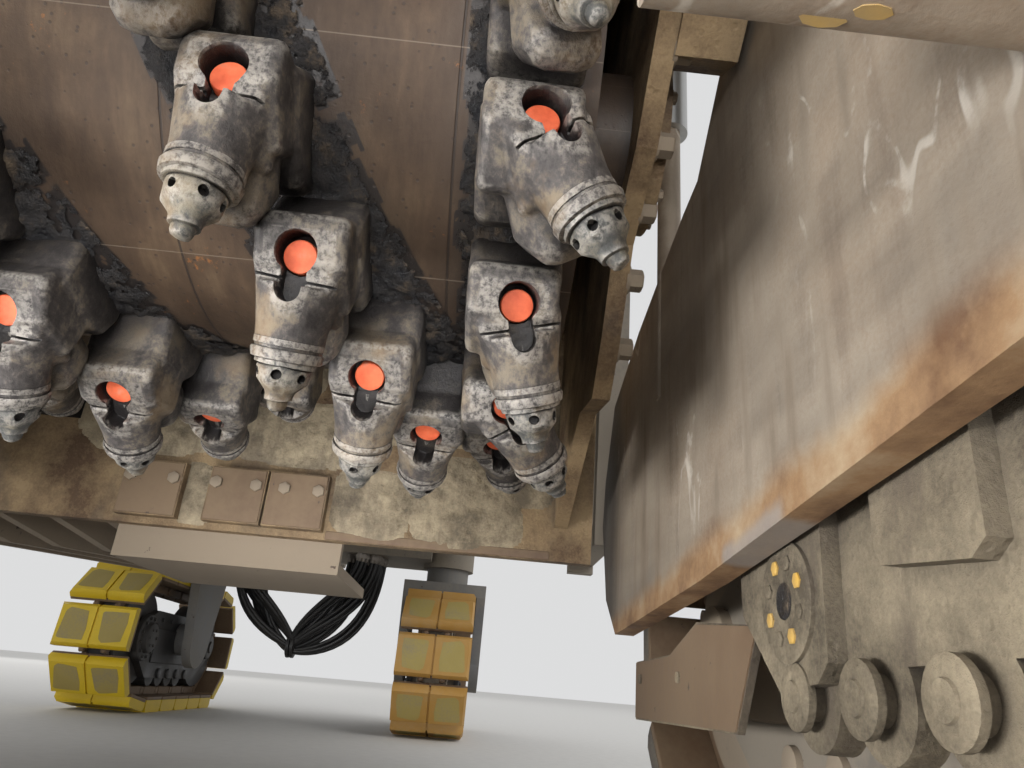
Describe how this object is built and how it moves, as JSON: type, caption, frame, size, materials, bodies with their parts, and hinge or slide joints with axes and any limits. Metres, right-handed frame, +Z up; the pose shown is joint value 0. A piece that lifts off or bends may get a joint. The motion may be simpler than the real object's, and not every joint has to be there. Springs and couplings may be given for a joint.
{
  "type": "compact cold planer with four crawlers, front loading, about 22 t class",
  "caption": "Compact front-loading cold planer on crawlers: milling drum with helical tool holders, side plates, scraper, folding discharge conveyor.",
  "frame": {"origin": "middle of the machine on the ground, below the centre of its box", "axes": "+X forwards towards the discharge conveyor, +Y to the left, +Z up"},
  "size_m": [11.2712, 2.85, 3.67],
  "materials": {
    "frame_paint": "dusty dark grey paint",
    "body_paint": "off-white paint",
    "yellow_paint": "yellow paint",
    "worn_steel": "worn, dusty cast steel",
    "drum_steel": "brown dusty steel",
    "tool_steel": "scraped steel",
    "plate_steel": "scraped steel plate with rust",
    "dusty_casting": "dusty beige paint",
    "track_pads_yellow": "yellow polyurethane",
    "track_pads_tan": "dirty polyurethane",
    "track_pads_dark": "dark polyurethane",
    "belt_rubber": "matte rubber",
    "hose_rubber": "satin rubber",
    "cylinder_steel": "bare cylinder steel",
    "seat_vinyl": "black vinyl",
    "lamp": "clear and amber lenses"
  },
  "bodies": {
    "machine": {"main_frame": "frame_paint", "drum_housing": "dusty_casting", "inlet_shoe": "worn_steel", "drum_drive_cover": "body_paint", "engine_block": "worn_steel", "rear_body": "body_paint", "radiator_grille": "frame_paint", "exhaust": "cylinder_steel", "platform": "frame_paint", "guard_rails": "yellow_paint", "consoles": "frame_paint", "seats": "seat_vinyl", "canopy": "body_paint", "ladders": "yellow_paint", "side_covers": "body_paint", "front_body": "body_paint", "primary_conveyor": "frame_paint", "primary_belt": "belt_rubber", "lift_cylinders": "cylinder_steel", "hoses": "hose_rubber", "lamps": "lamp", "rear_left_leg": "dusty_casting", "rear_left_track": "track_pads_dark", "rear_left_track_frame": "frame_paint", "rear_left_rollers": "worn_steel", "rear_right_leg": "dusty_casting", "rear_right_track": "track_pads_dark", "rear_right_track_frame": "frame_paint", "rear_right_rollers": "worn_steel"},
    "drum": {"drum_tube": "drum_steel", "tool_holders": "worn_steel", "picks": "tool_steel"},
    "side_plate_right": {"right_side_plate": "plate_steel"},
    "side_plate_left": {"left_side_plate": "plate_steel"},
    "scraper": {"scraper": "plate_steel"},
    "hood": {"engine_hood": "body_paint"},
    "door_left": {"left_door": "body_paint"},
    "door_right": {"right_door": "body_paint"},
    "crawler_front_left": {"front_left_leg": "dusty_casting", "front_left_track": "track_pads_yellow", "front_left_track_frame": "frame_paint", "front_left_rollers": "worn_steel"},
    "crawler_front_right": {"front_right_leg": "dusty_casting", "front_right_track": "track_pads_tan", "front_right_track_frame": "frame_paint", "front_right_rollers": "worn_steel"},
    "conveyor_fork": {"slew_frame": "frame_paint"},
    "conveyor_lower": {"lower_conveyor": "body_paint", "lower_belt": "belt_rubber"},
    "conveyor_upper": {"upper_conveyor": "body_paint", "upper_belt": "belt_rubber"},
    "cylinder_barrel": {"lift_barrel": "frame_paint"},
    "cylinder_rod": {"lift_rod": "cylinder_steel"}
  },
  "joints": [
    {"name": "drum_spin", "type": "hinge", "parent": "machine", "child": "drum", "pos_m": [-3.86562, 0, 0.88], "axis": [0, 1, 0], "continuous": true},
    {"name": "steer_front_left", "type": "hinge", "parent": "machine", "child": "crawler_front_left", "pos_m": [-0.91562, 0.65, 0], "axis": [0, 0, 1], "range_deg": [-25, 25]},
    {"name": "steer_front_right", "type": "hinge", "parent": "machine", "child": "crawler_front_right", "pos_m": [-0.91562, -0.65, 0], "axis": [0, 0, 1], "range_deg": [-25, 25]},
    {"name": "side_plate_right_lift", "type": "slide", "parent": "machine", "child": "side_plate_right", "axis": [0, 0, 1], "range_m": [-0.27, 0.05]},
    {"name": "side_plate_left_lift", "type": "slide", "parent": "machine", "child": "side_plate_left", "axis": [0, 0, 1], "range_m": [-0.27, 0.05]},
    {"name": "scraper_lift", "type": "slide", "parent": "machine", "child": "scraper", "axis": [0, 0, 1], "range_m": [-0.5, 0.03]},
    {"name": "hood_hinge", "type": "hinge", "parent": "machine", "child": "hood", "pos_m": [-4.70362, 0, 2.028], "axis": [0, 1, 0], "range_deg": [0, 55]},
    {"name": "door_left_hinge", "type": "hinge", "parent": "machine", "child": "door_left", "pos_m": [-4.76312, 1.018, 0], "axis": [0, 0, -1], "range_deg": [0, 100]},
    {"name": "door_right_hinge", "type": "hinge", "parent": "machine", "child": "door_right", "pos_m": [-4.76312, -1.018, 0], "axis": [0, 0, 1], "range_deg": [0, 100]},
    {"name": "conveyor_slew", "type": "hinge", "parent": "machine", "child": "conveyor_fork", "pos_m": [0.03438, 0.11, 0], "axis": [0, 0, 1], "range_deg": [-40, 40]},
    {"name": "conveyor_lift", "type": "hinge", "parent": "conveyor_fork", "child": "conveyor_lower", "pos_m": [0.14438, 0.11, 1.24], "axis": [0, -1, 0], "range_deg": [-20, 8]},
    {"name": "conveyor_fold", "type": "hinge", "parent": "conveyor_lower", "child": "conveyor_upper", "pos_m": [3.07786, 0.11, 2.5365], "axis": [0, -1, 0], "range_deg": [0, 160]},
    {"name": "cylinder_tilt", "type": "hinge", "parent": "conveyor_fork", "child": "cylinder_barrel", "pos_m": [0.34438, 0.11, 0.9], "axis": [0, -1, 0], "range_deg": [-25, 12]},
    {"name": "cylinder_stroke", "type": "slide", "parent": "cylinder_barrel", "child": "cylinder_rod", "axis": [0.8408, 0, 0.5414], "range_m": [-0.16, 0.08]}
  ],
  "couplings": [
    {"joint": "steer_front_right", "follows": "steer_front_left", "ratio": 1},
    {"joint": "cylinder_tilt", "follows": "conveyor_lift", "ratio": 1.0388},
    {"joint": "cylinder_stroke", "follows": "conveyor_lift", "m_per_rad": 0.3893}
  ]
}
